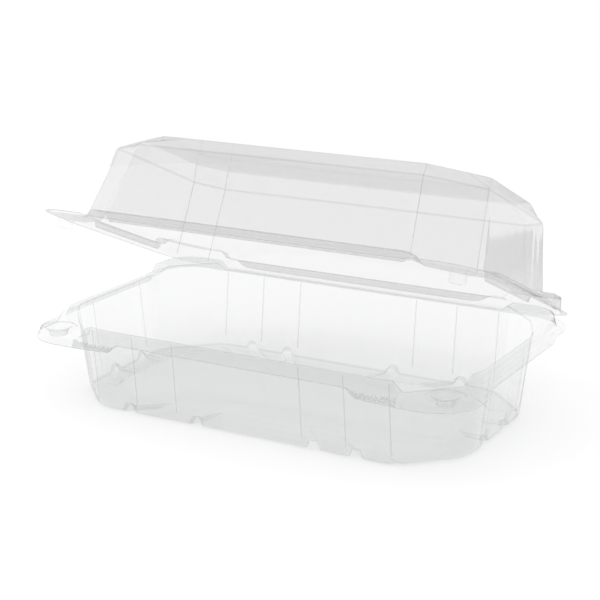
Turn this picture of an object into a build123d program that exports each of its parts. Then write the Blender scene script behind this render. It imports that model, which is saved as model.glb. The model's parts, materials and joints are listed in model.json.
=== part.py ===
"""Clear hinged-lid bakery pack: a deep tray and a domed lid, thermoformed from one thin sheet.

Millimetres, +Z up.  The origin is the middle of the face that the tray stands on.
The long side runs along X, the front is at -Y and the living hinge is along X at the back.
The lid is drawn in its own plane: the tray's plane turned about the hinge line, so both
halves use the same plan coordinates.
"""
from build123d import *
from math import atan, cos, degrees, radians, sin, tan
import os

# ---- sheet and trimmed outline ----
sheet = 0.3                # thickness of the formed sheet
length = 229.0              # along X
width = 137.0               # along Y, of the tray and of the lid
corner_radius = 21.0        # outline corners, seen from above
overrun = 5.0               # forms run past the outline before it is trimmed

# ---- heights of the tray, above the surface it stands on ----
shelf_height = 35.5         # front corner shelves
floor_lift = 2.4            # underside of the floor, between the feet

# ---- heights above or below the front corner shelves ----
edge_drop = 3.3             # trimmed edge of a front corner
lip_rise = 0.6              # lip along the front and the ends
hinge_rise = 3.2            # hinge plane
bead_rise = 5.2             # raised rim of the four straight sides
block_rise = 9.0            # locking blocks in the back corners

# ---- insets from the trimmed outline of a full corner ----
shelf_inset = 1.8
shelf_slope = 0.3           # sideways run of the step up to a front corner shelf, per height
lip_inset = 2.2
tab_inset = 3.2             # foot of the lip beside a thumb tab
bead_inset = 4.4
mouth_inset = 8.0
rim_reach = 20.0            # raised rims are drawn this deep, then cut by the mouth

# ---- plan of the rim ----
corner_x = 36.0             # a corner's length along the front and the back
corner_y = 34.0             # a corner's length along an end
mouth_bevel = 27.0
mouth_round = 20.0
step_run = 5.0              # run of the sloped step at each end of a raised rim
wall_lean = 10.0            # degrees, outer walls of the raised rims
tab_length = 20.0           # thumb tab, along the front

# ---- tub ----
tub_draft = 6.0             # degrees
floor_round = 8.0           # between wall and floor
foot_length = 25.0          # foot_length and foot_depth are taken where a foot meets the floor
foot_depth = 13.0
foot_inset = 15.5
foot_lean = 25.0            # degrees
foot_flare = 2.0            # a foot is this much narrower all round where it stands
foot_round = 3.0
foot_overlap = 2.0          # a foot's pocket runs this far up into the tub
front_feet = 6
end_feet = 3
flute_radius = 2.4
flute_bulge = 0.9           # how far a flute stands out of the wall
flute_end_drop = 6.0        # top of a flute below the front corner shelves
side_flutes = 3             # each side of the plain middle of the front and the back
end_flutes = 1              # each side of the plain middle of an end
flute_pitch = 22.0
side_flute_margin = 2.5     # last flute from the corner bevel of the mouth
end_flute_margin = 13.5

# ---- snap buttons in the front corners ----
button_radius = 4.2
button_drop = 6.0           # below the hinge plane
button_inset = 13.5
button_play = 0.5           # around and under the button in its socket
button_flare = 2.0          # degrees, the button is widest at its end
ring_radius = 8.6
ring_width = 1.8
ring_rise = 1.0

# ---- lid, heights above the hinge plane ----
open_angle = 23.3           # degrees, as it stands half open
hinge_gap = 0.3             # between the two flanges, at the fold and when shut
lid_play = 1.5              # the lid's raised rim stands outside the tray's by this
inner_play = 1.2            # and its inner side stops short of the tub's mouth by this
bead_headroom = 1.9         # under the lid's raised rim when shut
block_headroom = 1.5        # over the locking blocks when shut
dome_height = 47.7
bevel_drop = 7.7            # from the flat top down to where the bevel meets the wall

# ---- plan of the dome: how far the ends, the front and the back lie inside the tub's mouth ----
dome_foot_in = (4.0, 4.5, 2.5)
dome_shoulder_in = (8.5, 12.0, 7.0)
dome_top_in = (13.5, 25.0, 16.0)
front_facet = (24.0, 17.0)  # corner facets, along X and along Y
back_facet = (13.0, 11.0)
facet_round = 5.0

# ---- worked-out places ----
half_x = length / 2
half_y = width / 2
strip_x = half_x - corner_x
strip_y = half_y - corner_y
rim_top = shelf_height + bead_rise
hinge_y = half_y + hinge_gap / 2
hinge_z = shelf_height + hinge_rise
button_x = half_x - button_inset
button_y = -half_y + button_inset
floor_top = floor_lift + sheet
flange_top = hinge_gap / 2 + sheet
dome_shoulder = dome_height - bevel_drop
lid_bead_rise = bead_rise - hinge_rise + bead_headroom + sheet
lid_block_rise = block_rise - hinge_rise + block_headroom + sheet
lid_bead_inset = bead_inset - lid_play
lid_bead_inner = mouth_inset + inner_play
lid_shift = hinge_gap / 2 + half_y
tilt = radians(open_angle)
lid_up = (0, sin(tilt), cos(tilt))
lid_middle = (0, hinge_y - lid_shift * cos(tilt), hinge_z + lid_shift * sin(tilt))
lid_plane = Plane(origin=lid_middle, x_dir=(1, 0, 0), z_dir=lid_up)


def outline(plane, inset):
    """Rounded rectangle at an inset from the full trimmed outline."""
    with BuildSketch(plane) as shape:
        RectangleRounded(length - 2 * inset, width - 2 * inset, corner_radius - inset)
    return shape.sketch


def box_outline(plane, x0, x1, y0, y1):
    """Rectangle between two X and two Y values."""
    with BuildSketch(plane) as shape:
        with Locations(((x0 + x1) / 2, (y0 + y1) / 2)):
            Rectangle(x1 - x0, y1 - y0)
    return shape.sketch


def octagon(plane, insets, front, back, rounding):
    """Bevelled plan: insets of the ends, the front and the back, and the two kinds of bevel."""
    end, near, far = insets
    x = half_x - end
    y0 = -half_y + near
    y1 = half_y - far
    corners = [
        (x - front[0], y0),
        (x, y0 + front[1]),
        (x, y1 - back[1]),
        (x - back[0], y1),
        (-x + back[0], y1),
        (-x, y1 - back[1]),
        (-x, y0 + front[1]),
        (-x + front[0], y0),
    ]
    with BuildSketch(plane) as shape:
        with BuildLine():
            Polyline(*corners, close=True)
        make_face()
        fillet(shape.vertices(), rounding)
    return shape.sketch


def mouth(plane, inset):
    """Opening of the tub at an inset from the outline."""
    shrink = (inset - mouth_inset) * (2 - 2 ** 0.5)
    bevel = (mouth_bevel - shrink, mouth_bevel - shrink)
    return octagon(plane, (inset, inset, inset), bevel, bevel, mouth_round)


def strips(base, rise, foot, play, skin):
    """Raised bars along the four straight sides, with sloped ends.

    base is the plane they stand on, rise their height, foot their outer inset, play their
    extra length, and skin how far inside the top surface this form lies.
    """
    lean = rise * tan(radians(wall_lean))
    low = foot + skin
    high = foot + lean + skin
    bars = [
        (strip_x, -half_y, 1, "x"),
        (strip_x, half_y, -1, "x"),
        (strip_y, -half_x, 1, "y"),
        (strip_y, half_x, -1, "y"),
    ]
    solids = []
    for half, edge, inward, along in bars:
        with BuildPart() as bar:
            sections = []
            for level, run, inset in ((0, step_run - skin, low), (rise - skin, -skin, high)):
                across = sorted((edge + inward * inset, edge + inward * rim_reach))
                reach = half + play + run
                if along == "x":
                    span = (-reach, reach, across[0], across[1])
                else:
                    span = (across[0], across[1], -reach, reach)
                sections.append(box_outline(base.offset(level), *span))
            loft(sections=sections, ruled=True)
        solids.append(bar.part)
    return solids


def back_blocks(base, top, foot, play, skin):
    """Blocks in the two back corners, which lock the lid over the tray."""
    solids = []
    for side in (-1, 1):
        near_x = side * (strip_x - play + skin)
        x0, x1 = sorted((near_x, side * half_x))
        with BuildPart() as block:
            with BuildSketch(base) as plan:
                add(outline(Plane.XY, foot + skin))
                add(box_outline(Plane.XY, x0, x1, strip_y - play + skin, half_y), mode=Mode.INTERSECT)
            extrude(amount=top - skin, taper=wall_lean)
        solids.append(block.part)
    return solids


def flutes(skin):
    """Upright half-round ribs in the tub wall, as rods to add to the cavity."""
    top = shelf_height - flute_end_drop
    lean = tan(radians(tub_draft))
    inset = mouth_inset + (rim_top - top) * lean
    depth = flute_radius - flute_bulge
    reach_x = half_x - mouth_inset - mouth_bevel - side_flute_margin
    reach_y = half_y - mouth_inset - mouth_bevel - end_flute_margin
    wall_x = half_x - inset - depth
    wall_y = half_y - inset - depth
    drop = top - floor_top - floor_round
    places = []
    for side in (-1, 1):
        for index in range(side_flutes):
            x = reach_x - index * flute_pitch
            places += [(x, side * wall_y, 0, -side), (-x, side * wall_y, 0, -side)]
        for index in range(end_flutes):
            y = reach_y - index * flute_pitch
            places += [(side * wall_x, y, -side, 0), (side * wall_x, -y, -side, 0)]
    rods = []
    for x, y, to_x, to_y in places:
        down = Plane(origin=(x, y, top), z_dir=(to_x * lean, to_y * lean, -1))
        with BuildPart() as rod:
            with BuildSketch(down):
                Circle(flute_radius + skin)
            extrude(amount=drop)
        rods.append(rod.part)
    return rods


def feet(skin):
    """Shallow pockets round the floor, which the tray stands on."""
    reach_x = half_x - foot_inset - mouth_bevel / 2 - foot_length / 2
    reach_y = half_y - foot_inset - mouth_bevel / 2 - foot_length / 2
    spots = []
    for index in range(front_feet):
        x = -reach_x + 2 * reach_x * index / (front_feet - 1)
        for side in (-1, 1):
            spots.append((x, side * (half_y - foot_inset - foot_depth / 2), foot_length, foot_depth))
    for index in range(end_feet):
        y = -reach_y + 2 * reach_y * index / (end_feet - 1)
        for side in (-1, 1):
            spots.append((side * (half_x - foot_inset - foot_depth / 2), y, foot_depth, foot_length))
    pockets = []
    for x, y, size_x, size_y in spots:
        with BuildPart() as pocket:
            with BuildSketch(Plane.XY.offset(sheet - skin)):
                with Locations((x, y)):
                    narrow = 2 * (foot_flare - skin)
                    RectangleRounded(size_x - narrow, size_y - narrow, foot_round)
            extrude(amount=floor_lift + foot_overlap, taper=-foot_lean)
        pockets.append(pocket.part)
    return pockets


def cavity(skin):
    """Inside of the tub; skin = sheet gives its outside."""
    depth = rim_top - floor_top + skin
    with BuildPart() as hollow:
        extrude(mouth(Plane.XY.offset(rim_top), mouth_inset - skin), amount=-depth, taper=tub_draft)
        fillet(hollow.faces().sort_by(Axis.Z)[0].edges(), floor_round + skin)
        for rod in flutes(skin):
            add(rod)
        for pocket in feet(skin):
            add(pocket)
        extrude(mouth(Plane.XY.offset(rim_top), mouth_inset - skin), amount=block_rise)
    return hollow.part


def lips(skin):
    """Lip levels of the front, the ends and the hinge side, run past the trimmed outline."""
    low = shelf_height - edge_drop - skin
    lip_top = shelf_height + lip_rise - skin
    hinge_top = hinge_z - hinge_gap / 2 - skin
    out_x = half_x + overrun
    out_y = half_y + overrun
    free = strip_x - tab_length
    levels = [
        ((-free, free, -out_y, -half_y + rim_reach), lip_top, 0),
        ((-strip_x, strip_x, -half_y + tab_inset + skin, -half_y + rim_reach), lip_top, 0),
        ((-out_x, -half_x + rim_reach, -strip_y, strip_y), lip_top, 1),
        ((half_x - rim_reach, out_x, -strip_y, strip_y), lip_top, 1),
        ((-out_x, out_x, strip_y, out_y), hinge_top, 1),
    ]
    solids = []
    for (x0, x1, y0, y1), top, along_y in levels:
        grow_x = 0 if along_y else step_run
        grow_y = step_run if along_y else 0
        with BuildPart() as lip:
            upper = box_outline(Plane.XY.offset(top), x0 + skin, x1 - skin, y0 + skin * along_y, y1)
            lower = box_outline(
                Plane.XY.offset(low - overrun),
                x0 + skin - grow_x, x1 - skin + grow_x, y0 + skin * along_y - grow_y, y1)
            loft(sections=[lower, upper], ruled=True)
        solids.append(lip.part)
    return solids


def tray_form(skin):
    """Everything under the tray's upper surface, or under its lower one with skin = sheet."""
    edge_level = shelf_height - edge_drop
    with BuildPart() as form:
        extrude(outline(Plane.XY.offset(-overrun - skin), -overrun), amount=edge_level + overrun)
        foot_line = shelf_inset + skin - edge_drop * shelf_slope
        extrude(
            outline(Plane.XY.offset(edge_level - skin), foot_line),
            amount=edge_drop, taper=degrees(atan(shelf_slope)))
        for lip in lips(skin):
            add(lip)
        for bar in strips(Plane.XY.offset(shelf_height - skin), bead_rise + skin, bead_inset, 0, skin):
            add(bar)
        for block in back_blocks(Plane.XY.offset(shelf_height), block_rise, bead_inset, 0, skin):
            add(block)
        for side in (-1, 1):
            place = Plane(origin=(side * button_x, button_y, shelf_height - sheet))
            with BuildSketch(place):
                Circle(ring_radius - skin)
            extrude(amount=ring_rise + sheet - skin, taper=wall_lean)
            with BuildSketch(place.offset(ring_rise + 2 * sheet)):
                Circle(ring_radius - ring_width + skin)
            extrude(amount=-ring_rise - sheet - skin, mode=Mode.SUBTRACT)
            with BuildSketch(place.offset(ring_rise + 2 * sheet)):
                Circle(button_radius + button_play + skin)
            socket_floor = hinge_z - button_drop - button_play
            extrude(amount=socket_floor - skin - shelf_height - ring_rise - sheet, mode=Mode.SUBTRACT)
        add(cavity(skin), mode=Mode.SUBTRACT)
    return form.part


def trim_prism(plane, reach):
    """Upright prism of the trimmed outline, with the front lip set back between the corners."""
    free = strip_x - tab_length
    with BuildPart() as prism:
        with BuildSketch(plane.offset(-reach)):
            add(outline(Plane.XY, 0))
            with BuildLine():
                Polyline(
                    (-strip_x - step_run, -half_y), (-free, -half_y + lip_inset),
                    (free, -half_y + lip_inset), (strip_x + step_run, -half_y),
                    (strip_x, -half_y - overrun), (-strip_x, -half_y - overrun), close=True)
            make_face(mode=Mode.SUBTRACT)
        extrude(amount=2 * reach)
    return prism.part


def dome(skin):
    """Bevelled dome of the lid: walls to the shoulder, then a wide bevel up to the flat top."""
    levels = (
        (-sheet, dome_foot_in), (dome_shoulder, dome_shoulder_in), (dome_height - skin, dome_top_in))
    with BuildPart() as shell:
        for (low, low_insets), (high, high_insets) in zip(levels, levels[1:]):
            sections = []
            for level, insets in ((low, low_insets), (high, high_insets)):
                grown = tuple(mouth_inset + inset + skin for inset in insets)
                place = lid_plane.offset(level)
                sections.append(octagon(place, grown, front_facet, back_facet, facet_round))
            loft(sections=sections, ruled=True)
    return shell.part


def buttons(skin):
    """Snap buttons that hang from the lid's front corners, as pockets to cut from its form."""
    studs = []
    for side in (-1, 1):
        with BuildPart() as stud:
            with BuildSketch(lid_plane.offset(sheet)):
                with Locations((side * button_x, button_y)):
                    Circle(button_radius - sheet + skin)
            extrude(amount=-button_drop - skin, taper=-button_flare)
        studs.append(stud.part)
    return studs


def lid_form(skin):
    """Everything under the lid's upper surface, or under its lower one with skin = sheet."""
    depth = button_drop + overrun + skin
    with BuildPart() as form:
        extrude(outline(lid_plane.offset(flange_top - skin), -overrun), amount=-depth)
        base = lid_plane.offset(-sheet)
        for bar in strips(base, lid_bead_rise + sheet, lid_bead_inset, lid_play, skin):
            add(bar)
        for block in back_blocks(base, lid_block_rise + sheet, lid_bead_inset, lid_play, skin):
            add(block)
        plug = mouth(lid_plane.offset(flange_top - skin), lid_bead_inner - skin)
        extrude(plug, amount=dome_shoulder, mode=Mode.SUBTRACT)
        add(dome(skin))
        for stud in buttons(skin):
            add(stud, mode=Mode.SUBTRACT)
    return form.part


with BuildPart() as tray:
    add(tray_form(0))
    add(tray_form(sheet), mode=Mode.SUBTRACT)
    add(trim_prism(Plane.XY, rim_top + block_rise), mode=Mode.INTERSECT)
tray.part.label = "tray"

with BuildPart() as lid:
    add(lid_form(0))
    add(lid_form(sheet), mode=Mode.SUBTRACT)
    add(trim_prism(lid_plane, dome_height + overrun), mode=Mode.INTERSECT)
lid.part.label = "lid"

os.makedirs("parts", exist_ok=True)
export_step(tray.part, "parts/tray.step")
export_step(lid.part, "parts/lid.step")

closed_height = hinge_z + dome_height
print("closed pack", length, width, round(closed_height, 1))
print("hinge line y, z", hinge_y, hinge_z)
for name, piece in (("tray", tray.part), ("lid", lid.part)):
    print(name, "solids", len(piece.solids()), "cm3", round(piece.volume / 1000, 2))
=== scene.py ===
import json
import math

import bpy
import numpy as np
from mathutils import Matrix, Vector


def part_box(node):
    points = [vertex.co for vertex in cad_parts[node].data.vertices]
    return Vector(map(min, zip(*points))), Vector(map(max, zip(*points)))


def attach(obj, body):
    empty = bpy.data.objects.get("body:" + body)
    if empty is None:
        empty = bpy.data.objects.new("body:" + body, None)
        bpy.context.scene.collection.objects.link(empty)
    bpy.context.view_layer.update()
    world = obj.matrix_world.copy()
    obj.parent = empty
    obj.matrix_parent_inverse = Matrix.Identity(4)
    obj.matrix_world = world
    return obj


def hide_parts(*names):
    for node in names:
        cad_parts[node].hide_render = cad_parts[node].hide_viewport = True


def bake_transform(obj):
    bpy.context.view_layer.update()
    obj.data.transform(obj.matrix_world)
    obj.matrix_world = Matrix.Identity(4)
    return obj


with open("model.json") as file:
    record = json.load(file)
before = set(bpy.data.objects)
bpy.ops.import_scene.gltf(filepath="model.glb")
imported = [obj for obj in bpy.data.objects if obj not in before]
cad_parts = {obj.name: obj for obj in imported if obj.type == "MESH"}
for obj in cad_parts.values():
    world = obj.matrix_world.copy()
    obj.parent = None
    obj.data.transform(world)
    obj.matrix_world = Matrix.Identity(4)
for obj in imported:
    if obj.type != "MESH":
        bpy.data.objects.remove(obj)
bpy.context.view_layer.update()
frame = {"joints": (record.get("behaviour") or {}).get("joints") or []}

# The pack is drawn as two formed sheets.  Each sheet is a grid of rings round the plan, from
# the trimmed edge inwards, worked out in millimetres and turned into metres at the end.

MM = 0.001

# ---- sizes shared with the CAD, in millimetres ----
tray_low, tray_high = (np.array(corner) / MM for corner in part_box("tray"))
HAIR = 0.02                 # the sheets are drawn this far inside the solids
HALF_X = (tray_high[0] - tray_low[0]) / 2 - HAIR
HALF_Y = (tray_high[1] - tray_low[1]) / 2 - HAIR
HINGE_Y, HINGE_Z = (value / MM for value in frame["joints"][0]["pos_m"][1:])
CORNER_RADIUS = 21.0
SHELF = 35.5
FLOOR = 2.6                 # middle of the floor
EDGE = SHELF - 3.3
LIP = SHELF + 0.6
BEAD = SHELF + 5.2
BLOCK = SHELF + 9.0
LEDGE = HINGE_Z - 0.2
STRIP_X = HALF_X - 36.0
STRIP_Y = HALF_Y - 34.0
STEP = 5.0
TAB = 20.0                  # length of a thumb tab
TAB_DEPTH = 3.0
LIP_INSET = 2.2
BEAD_INSET = 4.4
MOUTH_INSET = 8.0
MOUTH_BEVEL = 27.0
MOUTH_ROUND = 20.0
FOOT = 0.2                  # level of the sheet where the tray stands
NOTCH = 3.2                 # and under the notches between its feet
NOTCH_INSET = 12.0
NOTCH_SPAN = (1.6, 3.8)     # half widths of a notch, at its top and where the foot is full
FLOOR_INSETS = (12.0, 15.0, 24.0)   # inner side of the feet, edge of the floor, its flat part
FRONT_NOTCHES = (-61.0, -23.5, 39.0, 60.5, 81.0)
END_NOTCHES = (-36.0, -12.5, 11.0, 34.0)
RIBS = (33.0, 55.0, 77.0)   # flutes of the long walls, each side of the middle
END_RIB = 20.0              # and of the end walls
FLUTE_WIDTH = 9.0
FLUTE_DEPTH = 0.5
DRAFT = math.tan(math.radians(6.0))
BUTTON_INSET = 13.5
BUTTON_X = HALF_X - BUTTON_INSET
BUTTON_Y = -HALF_Y + BUTTON_INSET
BUTTON_RING = (5.6, 6.6, 7.9, 8.9)  # raised ring round a socket, from its inner foot outwards
RING_RISE = 1.1
SOCKET = SHELF - HINGE_Z + 6.3      # depth of a socket
SOCKET_WALL = (4.1, 4.7)
OPEN_ANGLE = math.radians(23.3)
LID_FLANGE = 0.4
LID_BEAD = 4.2
LID_BLOCK = 7.6
LID_BEAD_INSET = 2.9
LID_BEAD_INNER = 9.2
LID_PLAY = 1.5
BACK_PLAY = -0.5            # the back blocks of the lid start before those of the tray
FOLD_PLAY = 0.15            # between the trimmed edge of the lid and the plane of the fold
DOME_FOOT = (12.0, 12.5, 10.5)      # insets of the ends, the front and the back
DOME_SHOULDER = (16.5, 20.0, 15.0)
DOME_TOP = (21.5, 33.0, 24.0)
SHOULDER_RISE = 40.0
DOME_RISE = 47.6
FRONT_FACET = (24.0, 17.0)          # bevels of the dome's corners, along x and along y
BACK_FACET = (13.0, 11.0)
DOME_ROUND = 3.0
DOME_BENDS = (0.8, 2.2, 1.6)        # reach of the bends at the foot, the shoulder and the top
CUT_HALF = 0.16             # half the width drawn for a cut edge

COLUMNS = 960               # points round each ring
CORNER_DENSITY = 2.2        # how much closer together they are near the corners
RIM_LEVELS = 33             # rings of the tray's rim, outside the mouth
LID_LEVELS = 39             # rings of the lid's rim, outside the dome
WALL_LEVELS = 16            # rings of the tray's wall, between its two bends
DOME_LEVELS = 10            # rings of the dome's wall, between its foot and its shoulder
TRAY_BEND = 8               # rings of each bend of the tray
LID_BEND = 7                # rings of each bend of the lid
STUD_SIDES = 40
# the crease ribbons are darker sheet laid along the bends: painted shade lines
CREASE_SHADE_WIDTH = 0.5                # width of an upright bend
# the first added slot paints the tight bends with a darker copy of the clear sheet: painted shade
SHADED_FOLD, FROST = 1, 2          # material slots of the sheets, after the clear sheet itself

# ---- camera, light and plastic ----
AZIMUTH, ELEVATION = 29.32, 16.03   # degrees, from the photograph
LENS = 94.9                         # mm, on a 36 mm sensor
TARGET = (0.3, 0.0, SHELF + 14.3)   # mm
CAMERA_DISTANCE = 0.749             # m
BACKDROP = 1.0              # brightness of the studio behind the pack
GLOSS_TURN = (-0.5, -0.75, 0.43)    # side from which gloss sees the studio lightest
ROOM_DARK, ROOM_LIGHT, OVERHEAD = 0.85, 0.92, 0.4
# for gloss rays the table top is an emission, darker towards the back right: painted shade in its
# reflections
TABLE_TURN = (-0.6, -0.8, 0.0)      # the same for the table top
TABLE_REFLECTION_SHADE, TABLE_REFLECTION_LIGHT = 0.12, 0.95
KNURL = 620.0               # knurls per metre of the thumb tabs
WAVES = 32.0                # ripples per metre of the formed sheet
HAZE = 0.07                 # roughness of the clear sheet
GLANCE_POWER, GLANCE_SHARE, HEAD_ON_SHARE = 5.0, 0.85, 0.09     # how much it reflects
TRAY_EDGE_TINT = (0.42, 0.43, 0.43)
LID_EDGE_TINT = (0.42, 0.41, 0.42)


# ---- plans of the rings ----


def plan(corners, rounding, samples=50, arc_samples=14):
    """Dense closed outline through the corners of a convex polygon, with rounded corners."""
    corners = np.array(corners, float)
    arcs = []
    for here, last, following in zip(corners, np.roll(corners, 1, 0), np.roll(corners, -1, 0)):
        before, after = last - here, following - here
        limit = 0.49 * min(np.linalg.norm(before), np.linalg.norm(after))
        before, after = before / np.linalg.norm(before), after / np.linalg.norm(after)
        half = math.acos(np.clip(before @ after, -1, 1)) / 2
        reach = min(rounding / math.tan(half), limit)
        radius = reach * math.tan(half)
        middle = (before + after) / np.linalg.norm(before + after)
        centre = here + middle * radius / math.sin(half)
        start, stop = here + before * reach - centre, here + after * reach - centre
        sweep = math.pi - 2 * half
        turns = np.linspace(0, 1, arc_samples)[:, None]
        arcs.append(centre + (start * np.sin((1 - turns) * sweep) + stop * np.sin(turns * sweep))
                    / math.sin(sweep))
    points = []
    for arc, following in zip(arcs, arcs[1:] + arcs[:1]):
        points.append(arc)
        steps = np.linspace(0, 1, samples + 1)[1:-1, None]
        points.append(arc[-1] + (following[0] - arc[-1]) * steps)
    return np.vstack(points)


def outline_plan(inset):
    """Rounded rectangle at an inset from the full trimmed outline."""
    x, y = HALF_X - inset, HALF_Y - inset
    return plan([(x, -y), (x, y), (-x, y), (-x, -y)], CORNER_RADIUS - inset)


def octagon_plan(insets, front, back, rounding):
    """Bevelled rectangle: insets of the ends, the front and the back, and two kinds of bevel."""
    end, near, far = insets
    x, y0, y1 = HALF_X - end, -HALF_Y + near, HALF_Y - far
    right = [(x - front[0], y0), (x, y0 + front[1]), (x, y1 - back[1]), (x - back[0], y1)]
    return plan(right + [(-a, b) for a, b in reversed(right)], rounding)


def mouth_plan(inset):
    """Opening of the tub at an inset from the outline."""
    bevel = MOUTH_BEVEL - (inset - MOUTH_INSET) * (2 - math.sqrt(2))
    return octagon_plan((inset, inset, inset), (bevel, bevel), (bevel, bevel), MOUTH_ROUND)


def spread_angles():
    """Directions of the columns, closer together where the outline is near a corner."""
    outline = outline_plan(0)
    outline = np.vstack([outline, outline[:1]])
    steps = np.linalg.norm(np.diff(outline, axis=0), axis=1)
    middle = (outline[1:] + outline[:-1]) / 2
    near_corner = (np.abs(middle[:, 0]) > STRIP_X - 4) & (np.abs(middle[:, 1]) > STRIP_Y - 4)
    weight = steps * np.where(near_corner, CORNER_DENSITY, 1.0)
    travelled = np.concatenate([[0], np.cumsum(weight)])
    angles = np.unwrap(np.arctan2(outline[:, 1], outline[:, 0]))
    wanted = np.linspace(0, travelled[-1], COLUMNS, endpoint=False)
    return np.interp(wanted, travelled, angles)


ANGLES = spread_angles()
DIRECTIONS = np.stack([np.cos(ANGLES), np.sin(ANGLES)], 1)


def radii(points):
    """Distance from the middle to the outline along each column."""
    angles = np.unwrap(np.arctan2(points[:, 1], points[:, 0]))
    reach = np.hypot(points[:, 0], points[:, 1])
    angles = np.concatenate([angles - 2 * math.pi, angles, angles + 2 * math.pi])
    return np.interp(ANGLES, angles, np.tile(reach, 3))


# ---- height fields ----


def rise(value, low, high):
    """0 below low, 1 above high and a smooth step between them."""
    t = np.clip((value - low) / (high - low), 0, 1)
    return t * t * (3 - 2 * t)


def outline_depth(x, y):
    """How far a point lies inside the full trimmed outline."""
    corner_x = np.abs(x) - (HALF_X - CORNER_RADIUS)
    corner_y = np.abs(y) - (HALF_Y - CORNER_RADIUS)
    outside = np.hypot(np.maximum(corner_x, 0), np.maximum(corner_y, 0))
    return CORNER_RADIUS - outside - np.minimum(np.maximum(corner_x, corner_y), 0)


def zones(x, y, play=0.0):
    """Shares of the front, end and back strips and of the front and back corners."""
    along_x = 1 - rise(np.abs(x), STRIP_X + play, STRIP_X + play + STEP)
    along_y = 1 - rise(np.abs(y), STRIP_Y + play, STRIP_Y + play + STEP)
    front = along_x * (y < -STRIP_Y)
    back = along_x * (y > STRIP_Y)
    ends = along_y * (np.abs(x) > STRIP_X)
    rest = np.clip(1 - front - back - ends, 0, 1)
    return front, ends, back, rest * (y < 0), rest * (y >= 0)


def tray_rim(x, y):
    """Height of the tray's rim at a point outside the mouth."""
    depth = outline_depth(x, y)
    front, ends, back, near, far = zones(x, y)
    middle = 1 - rise(np.abs(x), STRIP_X - TAB, STRIP_X - TAB + 6)
    bead = rise(depth, BEAD_INSET, BEAD_INSET + 1.0)
    low_lip = EDGE + (LIP - EDGE) * rise(depth, 2.6, 3.4)
    front_height = middle * LIP + (1 - middle) * low_lip
    front_height = front_height + (BEAD - front_height) * bead
    end_height = LIP + (BEAD - LIP) * bead
    back_height = LEDGE + (BEAD - LEDGE) * bead
    near_height = EDGE + (SHELF - EDGE) * rise(depth, 0.9, 1.9)
    far_height = LEDGE + (BLOCK - LEDGE) * rise(depth, BEAD_INSET, BEAD_INSET + 1.2)
    height = (front * front_height + ends * end_height + back * back_height
              + near * near_height + far * far_height)
    from_button = np.hypot(np.abs(x) - BUTTON_X, y - BUTTON_Y)
    collar = rise(from_button, *BUTTON_RING[:2]) * (1 - rise(from_button, *BUTTON_RING[2:]))
    socket = 1 - rise(from_button, *SOCKET_WALL)
    return height + near * (RING_RISE * collar - SOCKET * socket)


def lid_rim(x, y):
    """Height of the lid's rim above the hinge plane, outside the dome."""
    depth = outline_depth(x, y)
    play = np.where(y < 0, LID_PLAY, BACK_PLAY)
    front, ends, back, near, far = zones(x, y, play)
    bead = rise(depth, LID_BEAD_INSET, LID_BEAD_INSET + 1.0)
    inside = octagon_depth(x, y)
    bead = bead * (1 - rise(inside, 0.0, 1.0))
    block = rise(depth, LID_BEAD_INSET, LID_BEAD_INSET + 1.4)
    block = block * (1 - rise(inside, 0.0, 1.0))
    low_corner = 0.7 * (1 - rise(depth, 1.2, 2.4))
    height = (front + ends + back) * (LID_BEAD - LID_FLANGE) * bead
    return LID_FLANGE + height + near * low_corner + far * (LID_BLOCK - LID_FLANGE) * block


def octagon_depth(x, y):
    """How far a point lies inside the plug that the lid's rim leaves over the tray's mouth."""
    half_x, half_y = HALF_X - LID_BEAD_INNER, HALF_Y - LID_BEAD_INNER
    bevel = MOUTH_BEVEL - (LID_BEAD_INNER - MOUTH_INSET) * (2 - math.sqrt(2))
    flat_x = half_x - np.abs(x)
    flat_y = half_y - np.abs(y)
    cut = (half_x + half_y - bevel - np.abs(x) - np.abs(y)) / math.sqrt(2)
    blend = 4.0
    return -blend * np.log(sum(np.exp(-v / blend) for v in (flat_x, flat_y, cut)))


# ---- rings to mesh ----


def bend(first, corner, last, steps):
    """Rings that round a corner between two others, as a quadratic curve."""
    rings = []
    for t in np.linspace(0, 1, steps):
        rings.append(first * (1 - t) ** 2 + corner * 2 * t * (1 - t) + last * t * t)
    return rings


def ring(outline, height):
    """Columns of one ring, with a fixed height or one for each column."""
    points = DIRECTIONS * radii(outline)[:, None]
    heights = np.broadcast_to(np.asarray(height, float), (COLUMNS,))
    return np.column_stack([points, heights])


def toward(a, b, distance):
    """Ring that lies a distance from a on the way to b."""
    step = b - a
    length = np.linalg.norm(step, axis=1)[:, None]
    return a + step * np.minimum(distance / length, 0.5)


def spaced(first, second, count):
    """Rings spaced evenly between two others."""
    return [first + (second - first) * share for share in np.linspace(0, 1, count + 2)[1:-1]]


def folded(rings, radius_list, steps):
    """Rings joined by rounded folds; radius_list gives the reach of the fold at each inner ring."""
    result = [rings[0]]
    for index, reach in enumerate(radius_list, start=1):
        here = rings[index]
        result += bend(toward(here, rings[index - 1], reach), here,
                       toward(here, rings[index + 1], reach), steps)
    result.append(rings[-1])
    return result


def make_piece(name, points, faces, smooth=True):
    """Piece from points in millimetres."""
    mesh = bpy.data.meshes.new(name)
    mesh.from_pydata((np.asarray(points) * MM).tolist(), [], faces)
    mesh.polygons.foreach_set("use_smooth", [smooth] * len(mesh.polygons))
    piece = bpy.data.objects.new(name, mesh)
    bpy.context.scene.collection.objects.link(piece)
    return piece


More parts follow.
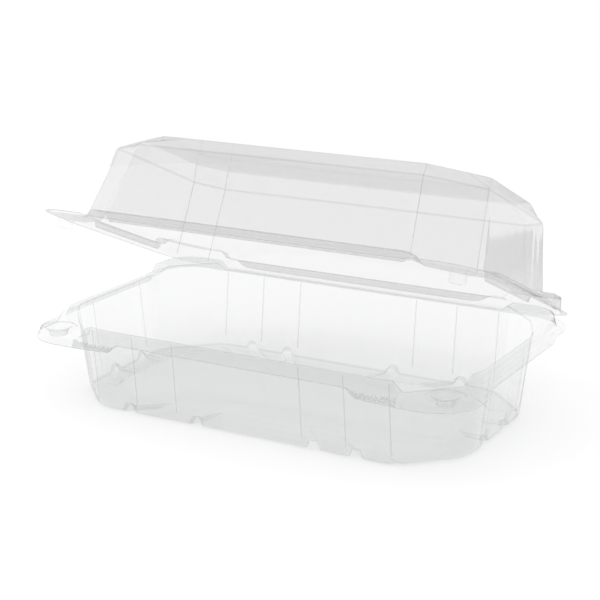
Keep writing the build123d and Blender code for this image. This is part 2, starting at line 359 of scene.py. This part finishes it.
def sheet_mesh(name, rings, centre_height, place, marks, surfaces):
    """Mesh of quads between rings, closed by a fan; marks gives each quad its material slot."""
    count = len(rings)
    points = np.vstack(rings)
    centre = np.array([[points[-COLUMNS:, 0].mean(), points[-COLUMNS:, 1].mean(), centre_height]])
    points = np.vstack([points, centre])
    column = np.arange(COLUMNS)
    following = (column + 1) % COLUMNS
    faces = []
    for index in range(count - 1):
        a, b = index * COLUMNS, (index + 1) * COLUMNS
        faces += np.column_stack([a + column, a + following, b + following, b + column]).tolist()
    quads = np.array(faces)
    slots = marks(points[quads].mean(axis=1), np.repeat(np.arange(count - 1), COLUMNS))
    slots = np.concatenate([slots, np.zeros(COLUMNS, int)])
    last = (count - 1) * COLUMNS
    faces += np.column_stack([last + column, last + following,
                              np.full(COLUMNS, count * COLUMNS)]).tolist()
    piece = make_piece(name, place(points), faces)
    for surface in surfaces:
        piece.data.materials.append(surface)
    piece.data.polygons.foreach_set("material_index", slots.astype(np.int32))
    piece.data.update()
    return piece


# ---- the tray ----


def trimmed_plan():
    """Trimmed edge of the tray: the front lip is set back between the thumb tabs."""
    points = outline_plan(0)
    free = STRIP_X - TAB
    front = points[:, 1] < -HALF_Y + 0.01
    back_off = LIP_INSET * (1 - rise(np.abs(points[:, 0]), free, STRIP_X + STEP))
    points[front, 1] += back_off[front]
    return points


def foot_mark(x, y):
    """1 where the tray stands on a foot and 0 at the notches between the feet."""
    long_y = HALF_Y - NOTCH_INSET
    long_x = HALF_X - NOTCH_INSET
    spots = [(spot, -long_y) for spot in FRONT_NOTCHES]
    spots += [(-spot, long_y) for spot in FRONT_NOTCHES]
    spots += [(side * long_x, side * spot) for side in (-1, 1) for spot in END_NOTCHES]
    mark = np.ones_like(x)
    for spot_x, spot_y in spots:
        mark = np.minimum(mark, rise(np.hypot(x - spot_x, y - spot_y), *NOTCH_SPAN))
    return mark


def flute(across, spots):
    """Saw-tooth flutes: each swells slowly over its width and drops back sharply at its spot."""
    amount = np.zeros_like(across)
    for spot in spots:
        swell = np.clip((across - spot + FLUTE_WIDTH) / FLUTE_WIDTH, 0, 1)
        amount += swell * (1 - rise(across, spot, spot + 0.1 * FLUTE_WIDTH))
    return amount


def ribs(points):
    """Pushes shallow upright flutes out of the tub wall."""
    x, y, z = points.T
    tall = rise(z, 3.0, 5.0) * (1 - rise(z, SHELF - 3, SHELF))
    long_side = np.abs(y) / HALF_Y > np.abs(x) / HALF_X
    amount = np.where(long_side, flute(np.abs(x), RIBS), flute(np.abs(y), (END_RIB,)))
    push = FLUTE_DEPTH * amount * tall
    moved = points.copy()
    moved[:, 0] += push * np.sign(x) * ~long_side
    moved[:, 1] += push * np.sign(y) * long_side
    return moved


def tray_marks(centres, level):
    """Frosted thumb tabs, and painted shade: a darker sheet on the tight bends of the mouth and the
    foot.
    """
    x, y, _ = centres.T
    slots = np.zeros(len(x), int)
    wall = level - RIM_LEVELS
    foot = TRAY_BEND + WALL_LEVELS + TRAY_BEND // 2 - 1
    slots[(wall >= 1) & (wall <= TRAY_BEND - 3)] = SHADED_FOLD
    slots[(wall == foot) | (wall == foot + 1)] = SHADED_FOLD
    on_tab = (np.abs(x) > STRIP_X - TAB) & (np.abs(x) < STRIP_X + STEP) & (y < TAB_DEPTH - HALF_Y)
    slots[on_tab & (level < RIM_LEVELS)] = FROST
    return slots


def make_tray(surfaces):
    """Deep tray: rim, fluted wall, rounded foot of the wall and a floor on shallow pads."""
    fold = 0.9
    edge = ring(trimmed_plan(), 0)
    brink = ring(mouth_plan(MOUTH_INSET - fold), 0)
    rings = []
    for share in np.linspace(0, 1, RIM_LEVELS + 1):
        level = edge + (brink - edge) * share
        level[:, 2] = tray_rim(level[:, 0], level[:, 1])
        rings.append(level)
    top = rings[-1][:, 2]
    corner = ring(mouth_plan(MOUTH_INSET), top)
    foot_inset = MOUTH_INSET + (BEAD - FOOT) * DRAFT
    foot = ring(mouth_plan(foot_inset), FOOT)
    mark = foot_mark(foot[:, 0], foot[:, 1])
    foot[:, 2] += (NOTCH - FOOT) * (1 - mark)
    rest, raised, flat = (foot_inset + inset for inset in FLOOR_INSETS)
    shelf = ring(mouth_plan(rest), foot[:, 2])
    inner = ring(mouth_plan(raised), FLOOR)
    wide = ring(mouth_plan(flat), FLOOR)
    reach = 3.2 + 2.6 * (1 - mark)[:, None]
    wall = folded([rings[-1], corner, foot, shelf, inner, wide],
                  [fold, reach, 1.0, 1.0], steps=TRAY_BEND)[1:-1]
    between = spaced(wall[TRAY_BEND - 1], wall[TRAY_BEND], WALL_LEVELS)
    standing = wall[:TRAY_BEND] + between + wall[TRAY_BEND:2 * TRAY_BEND]
    wall = [ribs(level) for level in standing] + wall[2 * TRAY_BEND:]
    middle = []
    for share in (1.0, 0.8, 0.6, 0.4, 0.2):
        level = wide.copy()
        level[:, :2] *= share
        middle.append(level)
    rings = rings[:-1] + wall + middle
    return sheet_mesh("tray_sheet", rings, FLOOR, lambda points: points, tray_marks, surfaces)


# ---- the lid ----


def lid_place(points):
    """Lid coordinates (plan x, plan y, height above the hinge plane) to the row frame."""
    x, y, h = points.T
    along = y - (HALF_Y + FOLD_PLAY)
    cosine, sine = math.cos(OPEN_ANGLE), math.sin(OPEN_ANGLE)
    return np.column_stack([x, HINGE_Y + along * cosine + h * sine,
                            HINGE_Z - along * sine + h * cosine])


def octagon_corners(insets):
    """The eight corners of a bevelled rectangle of the dome."""
    end, near, far = insets
    x, y0, y1 = HALF_X - end, -HALF_Y + near, HALF_Y - far
    front, back = FRONT_FACET, BACK_FACET
    half = [(x - front[0], y0), (x, y0 + front[1]), (x, y1 - back[1]), (x - back[0], y1)]
    return np.array(half + [(-a, b) for a, b in half])


def lid_marks(centres, level):
    """Painted shade: a darker sheet on the tight bends round the foot, the shoulder and the top of
    the dome.
    """
    slots = np.zeros(len(centres), int)
    dome = level - LID_LEVELS
    shoulder = LID_BEND + DOME_LEVELS + 2
    slots[(dome >= 1) & (dome <= LID_BEND - 3)] = SHADED_FOLD
    slots[(dome == shoulder) | (dome == shoulder + 1)] = SHADED_FOLD
    slots[dome == shoulder + LID_BEND + 1] = SHADED_FOLD
    return slots


def make_lid(surfaces):
    """Domed lid: rim, walls to the shoulder, wide bevel and flat top."""
    edge = ring(trimmed_plan(), 0)
    foot = ring(octagon_plan(DOME_FOOT, FRONT_FACET, BACK_FACET, DOME_ROUND), LID_FLANGE)
    rings = []
    for share in np.linspace(0, 1, LID_LEVELS + 1):
        level = edge + (foot - edge) * share
        level[:, 2] = lid_rim(level[:, 0], level[:, 1])
        rings.append(level)
    foot[:, 2] = rings[-1][:, 2]
    shoulder = ring(octagon_plan(DOME_SHOULDER, FRONT_FACET, BACK_FACET, DOME_ROUND), SHOULDER_RISE)
    top = ring(octagon_plan(DOME_TOP, FRONT_FACET, BACK_FACET, DOME_ROUND), DOME_RISE)
    inner = top * np.array([0.75, 0.75, 1.0])
    dome = folded([rings[-2], foot, shoulder, top, inner], DOME_BENDS, steps=LID_BEND)[1:]
    between = spaced(dome[LID_BEND - 1], dome[LID_BEND], DOME_LEVELS)
    dome = dome[:LID_BEND] + between + dome[LID_BEND:]
    for share in (0.5, 0.25):
        dome.append(top * np.array([share, share, 1.0]))
    return sheet_mesh("lid_sheet", rings[:-1] + dome, DOME_RISE, lid_place, lid_marks, surfaces)


def cut_edge(name, height, place):
    """Thin band that shows the cut edge of the sheet, all round but along the fold."""
    edge = ring(trimmed_plan(), 0)
    edge[:, 2] = height(edge[:, 0], edge[:, 1])
    thick = np.array([0, 0, CUT_HALF])
    points = np.vstack([edge + thick, edge - thick])
    points[:, :2] *= 0.9999     # just inside the outline of the sheet
    column = np.arange(COLUMNS)
    following = (column + 1) % COLUMNS
    faces = np.column_stack([column, column + COLUMNS, following + COLUMNS, following])
    folded_over = (edge[:, 1] > HALF_Y - 0.3) & (np.abs(edge[:, 0]) < HALF_X - CORNER_RADIUS)
    return make_piece(name, place(points), faces[~folded_over].tolist())


def make_stud(side):
    """Snap button that hangs from a front corner of the lid."""
    profile = [(4.7, 0.3), (4.2, 0.1), (3.95, -0.5), (3.8, -1.6), (3.75, -2.8), (3.85, -4.0),
               (3.75, -4.7), (3.4, -5.2), (2.7, -5.4), (1.4, -5.4)]
    turns = np.linspace(0, 2 * math.pi, STUD_SIDES, endpoint=False)
    points = [(side * BUTTON_X, BUTTON_Y, profile[-1][1])]
    for radius, height in profile:
        for turn in turns:
            points.append((side * BUTTON_X + radius * math.cos(turn),
                           BUTTON_Y + radius * math.sin(turn), height))
    faces = []
    for level in range(len(profile) - 1):
        for index in range(STUD_SIDES):
            a = 1 + level * STUD_SIDES + index
            b = 1 + level * STUD_SIDES + (index + 1) % STUD_SIDES
            faces.append((a, b, b + STUD_SIDES, a + STUD_SIDES))
    last = 1 + (len(profile) - 1) * STUD_SIDES
    for index in range(STUD_SIDES):
        faces.append((last + index, last + (index + 1) % STUD_SIDES, 0))
    name = "snap_button_left" if side < 0 else "snap_button_right"
    return make_piece(name, lid_place(np.array(points)), faces)


def make_fold():
    """Living hinge: the strip of sheet that bends round the fold between the two flanges."""
    reach = HALF_X - CORNER_RADIUS
    turns = np.linspace(-math.pi / 2, math.pi / 2 - OPEN_ANGLE, 7)
    points, faces = [], []
    columns = 61
    bend_radius = 0.22
    profile = [(HALF_Y - 0.4, LEDGE)]
    for turn in turns:
        profile.append((HALF_Y + 0.1 + bend_radius * math.cos(turn),
                        HINGE_Z + bend_radius * math.sin(turn)))
    for y, z in profile:
        points += [(x, y, z) for x in np.linspace(-reach, reach, columns)]
    for level in range(len(profile) - 1):
        for index in range(columns - 1):
            a = level * columns + index
            faces.append((a, a + 1, a + 1 + columns, a + columns))
    return make_piece("living_hinge", points, faces)


def shade_ribbons(name, segments, place):
    """Painted shade along the upright bends of a sheet, as narrow ribbons of a darker sheet; a
    segment is two points and a direction.
    """
    points, faces = [], []
    for start, stop, across in segments:
        first = len(points)
        across = np.array(across) / np.linalg.norm(across) * CREASE_SHADE_WIDTH / 2
        points += [start - across, start + across, stop + across, stop - across]
        faces.append((first, first + 1, first + 2, first + 3))
    return make_piece(name, place(np.array(points)), faces, smooth=False)


def flute_creases():
    """Crisp side of every flute of the tub, from its foot to the mouth."""
    segments = []
    low, high = 5.0, BEAD - 1.5
    for side in (-1, 1):
        reach = [half - MOUTH_INSET - 0.05 - (BEAD - level) * DRAFT
                 for half in (HALF_Y, HALF_X) for level in (low, high)]
        for spot in (*RIBS, *(-spot for spot in RIBS)):
            segments.append((np.array([spot, side * reach[0], low]),
                             np.array([spot, side * reach[1], high]), (1, 0, 0)))
        for spot in (-END_RIB, END_RIB):
            segments.append((np.array([side * reach[2], spot, low]),
                             np.array([side * reach[3], spot, high]), (0, 1, 0)))
    return segments


def dome_creases():
    """The eight upright corners of the dome, from its foot past the shoulder to the top."""
    stages = [(DOME_FOOT, LID_FLANGE + 1), (DOME_SHOULDER, SHOULDER_RISE), (DOME_TOP, DOME_RISE)]
    segments = []
    for (low, start), (high, stop) in zip(stages, stages[1:]):
        for first, second in zip(octagon_corners(low), octagon_corners(high)):
            inward = -0.4 * first / np.linalg.norm(first)
            across = (-first[1], first[0], 0)
            segments.append((np.array([*(first + inward), start]),
                             np.array([*(second + inward), stop - 0.1]), across))
    return segments


# ---- clear plastic ----


def blank_nodes(owner):
    """Empty node tree of a material or a world: its nodes, its links and a mix of two shaders."""
    owner.use_nodes = True
    nodes, links = owner.node_tree.nodes, owner.node_tree.links
    nodes.clear()
    output = nodes.new("ShaderNodeOutputWorld" if owner.id_type == "WORLD"
                       else "ShaderNodeOutputMaterial")
    mix = nodes.new("ShaderNodeMixShader")
    links.new(mix.outputs["Shader"], output.inputs["Surface"])
    return nodes, links, mix


def smooth_range(nodes, start, stop, low, high):
    """Smooth step from low to high as the value goes from start to stop."""
    step = nodes.new("ShaderNodeMapRange")
    step.interpolation_type = "SMOOTHSTEP"
    step.inputs["From Min"].default_value = start
    step.inputs["From Max"].default_value = stop
    step.inputs["To Min"].default_value = low
    step.inputs["To Max"].default_value = high
    return step


def clear_plastic(name, tint, edge_tint):
    """Thin clear sheet: it lets the view straight through, tinted more at a glancing angle."""
    material = bpy.data.materials.new(name)
    nodes, links, mix = blank_nodes(material)
    through = nodes.new("ShaderNodeBsdfTransparent")
    gloss = nodes.new("ShaderNodeBsdfGlossy")
    gloss.inputs["Roughness"].default_value = HAZE
    gloss.inputs["Color"].default_value = (1, 1, 1, 1)
    coordinates = nodes.new("ShaderNodeTexCoord")
    waves = nodes.new("ShaderNodeTexNoise")
    waves.inputs["Scale"].default_value = WAVES
    waves.inputs["Detail"].default_value = 2.0
    links.new(coordinates.outputs["Object"], waves.inputs["Vector"])
    bump = nodes.new("ShaderNodeBump")
    bump.inputs["Strength"].default_value = 0.3
    bump.inputs["Distance"].default_value = 0.0006
    links.new(waves.outputs["Fac"], bump.inputs["Height"])
    links.new(bump.outputs["Normal"], gloss.inputs["Normal"])
    facing = nodes.new("ShaderNodeLayerWeight")
    facing.inputs["Blend"].default_value = 0.5
    ramp = nodes.new("ShaderNodeValToRGB")
    ramp.color_ramp.interpolation = "LINEAR"
    ramp.color_ramp.elements[0].position = 0.3
    ramp.color_ramp.elements[0].color = (*tint, 1)
    ramp.color_ramp.elements[1].position = 1.0
    ramp.color_ramp.elements[1].color = (*edge_tint, 1)
    slant = ramp.color_ramp.elements.new(0.72)
    slant.color = (*[min(1.05 * part, 1) for part in tint], 1)
    links.new(facing.outputs["Facing"], ramp.inputs["Fac"])
    links.new(ramp.outputs["Color"], through.inputs["Color"])
    # share reflected by the two faces of the sheet together, the same from either side
    steep = nodes.new("ShaderNodeMath")
    steep.operation = "POWER"
    steep.inputs[1].default_value = GLANCE_POWER
    share = nodes.new("ShaderNodeMath")
    share.operation = "MULTIPLY_ADD"
    share.use_clamp = True
    share.inputs[1].default_value = GLANCE_SHARE
    share.inputs[2].default_value = HEAD_ON_SHARE
    links.new(facing.outputs["Facing"], steep.inputs[0])
    links.new(steep.outputs["Value"], share.inputs[0])
    links.new(share.outputs["Value"], mix.inputs["Fac"])
    links.new(through.outputs["BSDF"], mix.inputs[1])
    links.new(gloss.outputs["BSDF"], mix.inputs[2])
    return material


def frosted_plastic(name, whiteness, valley):
    """Sheet whose surface scatters light: knurled thumb tabs and the cut edge."""
    material = bpy.data.materials.new(name)
    nodes, links, mix = blank_nodes(material)
    through = nodes.new("ShaderNodeBsdfTransparent")
    through.inputs["Color"].default_value = (0.84, 0.85, 0.85, 1)
    cloudy = nodes.new("ShaderNodeBsdfTranslucent")
    cloudy.inputs["Color"].default_value = (0.8, 0.81, 0.81, 1)
    coordinates = nodes.new("ShaderNodeTexCoord")
    turn = nodes.new("ShaderNodeMapping")
    turn.inputs["Rotation"].default_value = (0, 0, math.radians(45))
    knurl = nodes.new("ShaderNodeTexVoronoi")
    knurl.inputs["Scale"].default_value = KNURL
    knurl.inputs["Randomness"].default_value = 0.0
    ramp = nodes.new("ShaderNodeMapRange")
    ramp.inputs["From Min"].default_value = 0.25
    ramp.inputs["From Max"].default_value = 0.6
    ramp.inputs["To Min"].default_value = whiteness * valley
    ramp.inputs["To Max"].default_value = whiteness
    links.new(coordinates.outputs["Object"], turn.inputs["Vector"])
    links.new(turn.outputs["Vector"], knurl.inputs["Vector"])
    links.new(knurl.outputs["Distance"], ramp.inputs["Value"])
    links.new(ramp.outputs["Result"], mix.inputs["Fac"])
    links.new(through.outputs["BSDF"], mix.inputs[1])
    links.new(cloudy.outputs["BSDF"], mix.inputs[2])
    return material


# ---- studio ----


def make_camera():
    """Camera at the photograph's angle, on a long lens."""
    azimuth, elevation = math.radians(AZIMUTH), math.radians(ELEVATION)
    back = Vector((math.sin(azimuth) * math.cos(elevation),
                   -math.cos(azimuth) * math.cos(elevation), math.sin(elevation)))
    data = bpy.data.cameras.new("camera")
    data.sensor_width = 36.0
    data.lens = LENS
    data.clip_start = 0.05
    data.clip_end = 20.0
    camera = bpy.data.objects.new("camera", data)
    bpy.context.scene.collection.objects.link(camera)
    camera.location = Vector(TARGET) * MM + back * CAMERA_DISTANCE
    camera.rotation_euler = (-back).to_track_quat("-Z", "Y").to_euler()
    bpy.context.scene.camera = camera


def make_world():
    """Even and pale; gloss sees a studio that is lightest at the front left and overhead."""
    world = bpy.data.worlds.new("studio")
    bpy.context.scene.world = world
    nodes, links, mix = blank_nodes(world)
    plain = nodes.new("ShaderNodeBackground")
    plain.inputs["Color"].default_value = (1, 1, 1, 1)
    plain.inputs["Strength"].default_value = BACKDROP
    room = nodes.new("ShaderNodeBackground")
    coordinates = nodes.new("ShaderNodeTexCoord")
    lit = nodes.new("ShaderNodeVectorMath")
    lit.operation = "DOT_PRODUCT"
    lit.inputs[1].default_value = GLOSS_TURN
    side = smooth_range(nodes, -0.95, 0.1, ROOM_DARK, ROOM_LIGHT)
    split = nodes.new("ShaderNodeSeparateXYZ")
    above = smooth_range(nodes, 0.78, 0.95, 0.0, OVERHEAD)
    total = nodes.new("ShaderNodeMath")
    total.operation = "ADD"
    links.new(coordinates.outputs["Generated"], lit.inputs[0])
    links.new(coordinates.outputs["Generated"], split.inputs["Vector"])
    links.new(lit.outputs["Value"], side.inputs["Value"])
    links.new(split.outputs["Z"], above.inputs["Value"])
    links.new(side.outputs["Result"], total.inputs[0])
    links.new(above.outputs["Result"], total.inputs[1])
    links.new(total.outputs["Value"], room.inputs["Color"])
    path = nodes.new("ShaderNodeLightPath")
    links.new(path.outputs["Is Glossy Ray"], mix.inputs["Fac"])
    links.new(plain.outputs["Background"], mix.inputs[1])
    links.new(room.outputs["Background"], mix.inputs[2])


def make_lamp(name, place, size, power):
    """Soft box that looks at the pack."""
    data = bpy.data.lights.new(name, "AREA")
    data.shape = "SQUARE"
    data.size = size
    data.energy = power
    lamp = bpy.data.objects.new(name, data)
    bpy.context.scene.collection.objects.link(lamp)
    lamp.location = place
    lamp.visible_glossy = False
    lamp.rotation_euler = (Vector(place) - Vector((0, 0, 0.05))).to_track_quat("Z", "Y").to_euler()


def make_floor():
    """Round pale table top; gloss rays see it as a glowing emission, painted darker far behind the
    pack on the right: painted shade in the reflections.
    """
    radius, sides, depth = 600.0, 96, -0.1
    turns = np.linspace(0, 2 * math.pi, sides, endpoint=False)
    rim = [(radius * math.cos(turn), radius * math.sin(turn), depth) for turn in turns]
    floor = make_piece("floor", rim, [tuple(range(sides))], smooth=False)
    material = bpy.data.materials.new("pale_table")
    nodes, links, mix = blank_nodes(material)
    matt = nodes.new("ShaderNodeBsdfDiffuse")
    matt.inputs["Color"].default_value = (0.99, 0.99, 0.99, 1)
    # gloss rays see the table as a glowing emission: a painted reflection, darker towards the back
    # right
    painted_reflection = nodes.new("ShaderNodeEmission")
    coordinates = nodes.new("ShaderNodeTexCoord")
    across = nodes.new("ShaderNodeVectorMath")
    across.operation = "DOT_PRODUCT"
    across.inputs[1].default_value = TABLE_TURN
    shade = smooth_range(nodes, -0.5, -0.2, TABLE_REFLECTION_SHADE, TABLE_REFLECTION_LIGHT)
    links.new(coordinates.outputs["Object"], across.inputs[0])
    links.new(across.outputs["Value"], shade.inputs["Value"])
    links.new(shade.outputs["Result"], painted_reflection.inputs["Color"])
    path = nodes.new("ShaderNodeLightPath")
    links.new(path.outputs["Is Glossy Ray"], mix.inputs["Fac"])
    links.new(matt.outputs["BSDF"], mix.inputs[1])
    links.new(painted_reflection.outputs["Emission"], mix.inputs[2])
    floor.data.materials.append(material)


make_camera()
make_world()
make_lamp("key", (-0.7, -0.5, 1.1), size=0.8, power=1.5)
make_lamp("fill", (0.9, -0.9, 0.9), size=0.9, power=1.0)
make_floor()
bpy.context.scene.view_settings.view_transform = "Standard"
bpy.context.scene.cycles.transparent_max_bounces = 48

tray_plastic = clear_plastic("clear_tray", (0.915, 0.919, 0.917), TRAY_EDGE_TINT)
lid_plastic = clear_plastic("clear_lid", (0.885, 0.884, 0.887), LID_EDGE_TINT)
stud_plastic = clear_plastic("clear_stud", (0.985, 0.985, 0.986), (0.75, 0.74, 0.75))
# darker copies of the clear sheet: painted shade for the tight bends and the crease ribbons
tray_fold_shade = clear_plastic("clear_tray_fold_painted_shade", (0.8, 0.805, 0.805), TRAY_EDGE_TINT)
lid_fold_shade = clear_plastic("clear_lid_fold_painted_shade", (0.78, 0.778, 0.782), LID_EDGE_TINT)
frosted = frosted_plastic("frosted_tab", whiteness=0.7, valley=0.35)
cut = frosted_plastic("cut_edge", whiteness=0.6, valley=1.0)

tray = make_tray((tray_plastic, tray_fold_shade, frosted))
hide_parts("tray")
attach(tray, "tray")

lid = make_lid((lid_plastic, lid_fold_shade, frosted))
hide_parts("lid")
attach(lid, "lid")

tray_edge = cut_edge("tray_cut_edge", tray_rim, lambda points: points)
tray_edge.data.materials.append(cut)
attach(tray_edge, "tray")

# darker ribbons along the flutes of the tub: painted shade lines
tray_crease_shade = shade_ribbons("tray_flute_crease_shade", flute_creases(), lambda points: points)
tray_crease_shade.data.materials.append(tray_fold_shade)
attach(tray_crease_shade, "tray")

# darker ribbons along the upright corners of the dome: painted shade lines
lid_crease_shade = shade_ribbons("lid_dome_crease_shade", dome_creases(), lid_place)
lid_crease_shade.data.materials.append(lid_fold_shade)
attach(lid_crease_shade, "lid")

lid_edge = cut_edge("lid_cut_edge", lid_rim, lid_place)
lid_edge.data.materials.append(cut)
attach(lid_edge, "lid")

for side in (-1, 1):
    stud = make_stud(side)
    stud.data.materials.append(stud_plastic)
    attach(stud, "lid")

fold = make_fold()
fold.data.materials.append(lid_plastic)
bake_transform(fold)
